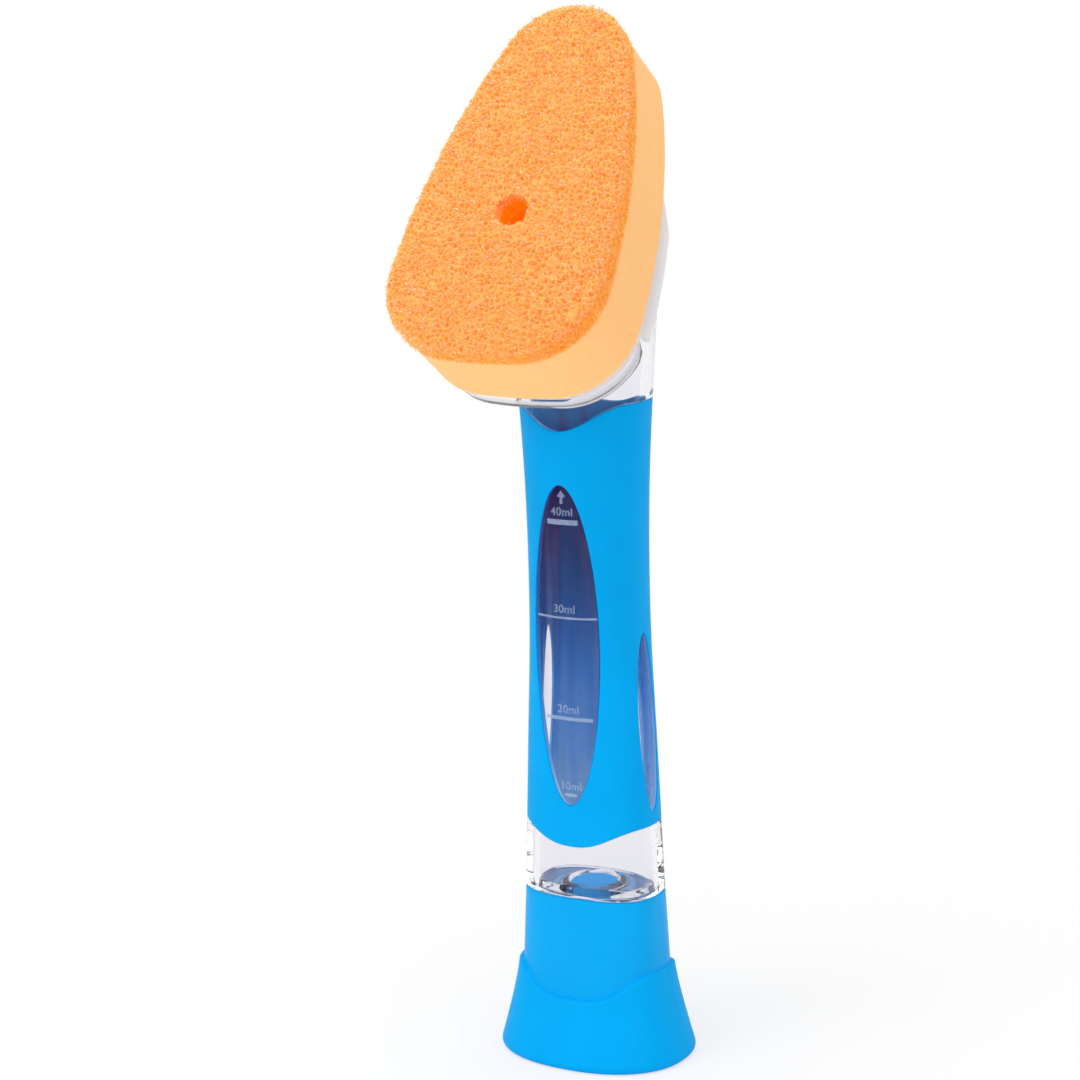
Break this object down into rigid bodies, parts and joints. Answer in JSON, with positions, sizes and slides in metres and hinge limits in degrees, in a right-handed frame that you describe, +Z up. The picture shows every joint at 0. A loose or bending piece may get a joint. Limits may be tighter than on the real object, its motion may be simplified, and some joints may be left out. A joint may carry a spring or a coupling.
{
  "type": "dish wand",
  "caption": "Refillable dish wand: clear soap handle with blue rubber grip, screw-off flared foot and a slide-on tilted sponge head with scouring face.",
  "frame": {"origin": "centre of the foot's underside, on the handle's axis", "axes": "+Z up along the handle, -Y the way the scouring face looks, X across the handle; X = 0 is the mirror plane"},
  "size_m": [0.0564, 0.0776, 0.2644],
  "materials": {
    "clear_plastic": "clear moulded plastic, polished",
    "grip_rubber": "smooth satin thermoplastic rubber",
    "foot_plastic": "moulded, semi-gloss",
    "foot_rubber": "smooth satin thermoplastic rubber",
    "silicone": "translucent white silicone",
    "soft_sponge": "fine open-cell foam",
    "scour_fibre": "coarse non-scratch scouring fibre"
  },
  "bodies": {
    "handle": {"reservoir_body": "clear_plastic", "reservoir_floor": "clear_plastic", "grip_sleeve": "grip_rubber", "slit_valve": "silicone", "valve_ring": "clear_plastic"},
    "cap_seal": {"cap_washer": "silicone"},
    "cap": {"cap_core": "foot_plastic", "foot_skirt": "foot_rubber", "foot_pad": "foot_rubber"},
    "refill": {"refill_plate": "clear_plastic", "sponge": "soft_sponge", "scour_pad": "scour_fibre"}
  },
  "joints": [
    {"name": "cap_travel", "type": "slide", "parent": "handle", "child": "cap_seal", "axis": [0, 0, -1], "range_m": [0, 0.0061]},
    {"name": "cap_turn", "type": "hinge", "parent": "cap_seal", "child": "cap", "pos_m": [0, 0, 0.033], "axis": [0, 0, -1], "range_deg": [0, 540]},
    {"name": "refill_slide", "type": "slide", "parent": "handle", "child": "refill", "axis": [0, 0.5779, 0.8161], "range_m": [0, 0.045]}
  ],
  "couplings": [
    {"joint": "cap_travel", "follows": "cap_turn", "m_per_rad": 0.00063662}
  ]
}
